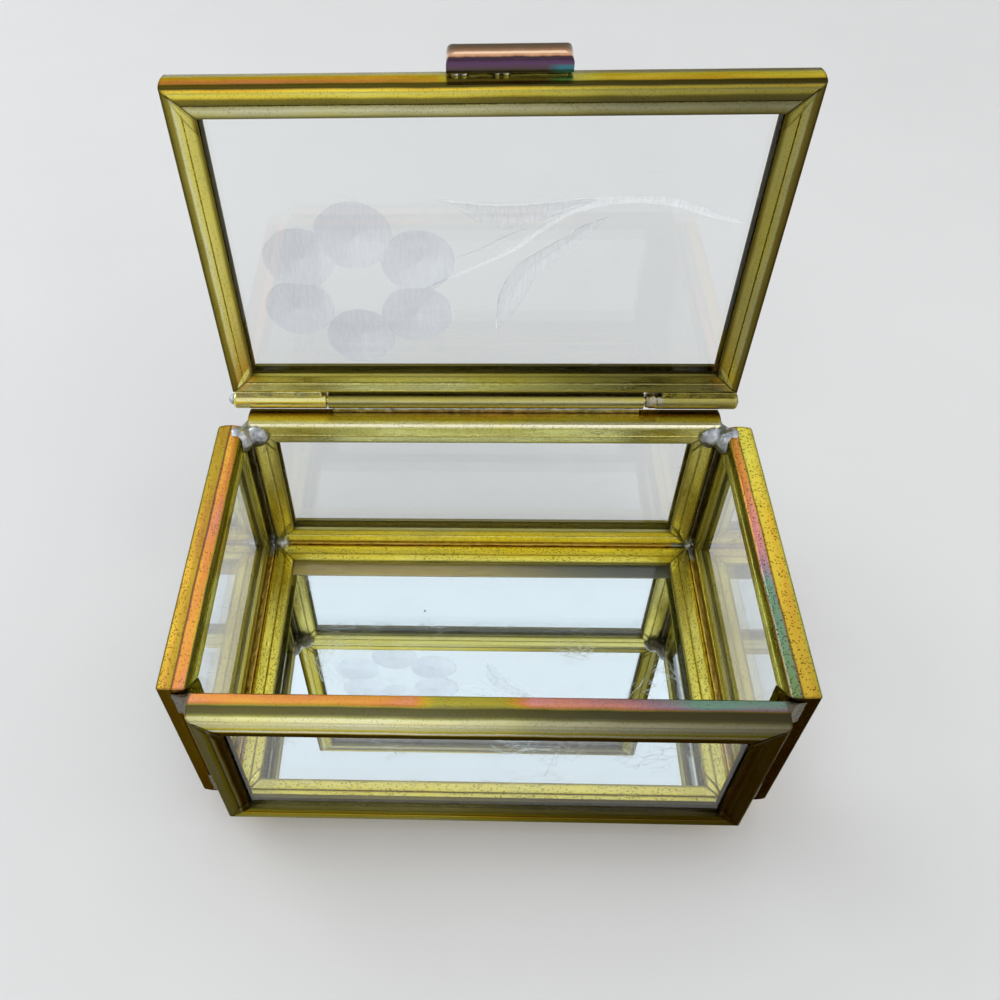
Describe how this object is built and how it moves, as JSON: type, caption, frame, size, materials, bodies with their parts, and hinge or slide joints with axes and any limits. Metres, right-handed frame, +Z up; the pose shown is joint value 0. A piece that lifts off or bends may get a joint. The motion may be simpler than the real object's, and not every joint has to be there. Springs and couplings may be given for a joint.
{
  "type": "glass casket box",
  "caption": "Small casket box of clear panes framed in rolled brass channel, with a mirrored floor, a knuckle hinge and a framed glass lid with a short lift tab.",
  "frame": {"origin": "middle of the footprint on the table, as the box stands with its lid upright", "axes": "+X to the right along the long walls, +Y towards the hinge at the back, +Z up"},
  "size_m": [0.076, 0.054, 0.0833],
  "materials": {
    "brass": "aged rolled brass strip with heat colours from the soldering",
    "solder": "dull grey soft solder, lumpy",
    "glass": "clear polished glass, the lid with a ground flower",
    "mirror": "back-silvered mirror glass"
  },
  "bodies": {
    "box": {"base_frame": "brass", "base_mirror": "mirror", "front_frame": "brass", "front_glass": "glass", "back_frame": "brass", "back_glass": "glass", "left_frame": "brass", "left_glass": "glass", "right_frame": "brass", "right_glass": "glass", "corner_solder_front_left": "solder", "corner_solder_front_right": "solder", "corner_solder_back_left": "solder", "corner_solder_back_right": "solder", "base_solder_front": "solder", "base_solder_back": "solder", "base_solder_left": "solder", "base_solder_right": "solder", "hinge_barrel": "brass", "barrel_solder": "solder"},
    "lid": {"lid_frame": "brass", "lid_glass": "glass", "hinge_knuckle_left": "brass", "hinge_knuckle_right": "brass", "knuckle_solder_left": "solder", "knuckle_solder_right": "solder", "hinge_pin": "brass", "pin_solder_left": "solder", "pin_solder_right": "solder", "lift_tab": "brass", "tab_solder": "solder"}
  },
  "joints": [
    {"name": "lid_hinge", "type": "hinge", "parent": "box", "child": "lid", "pos_m": [0, 0.02255, 0.03321], "axis": [1, 0, 0], "range_deg": [0, 90]}
  ]
}
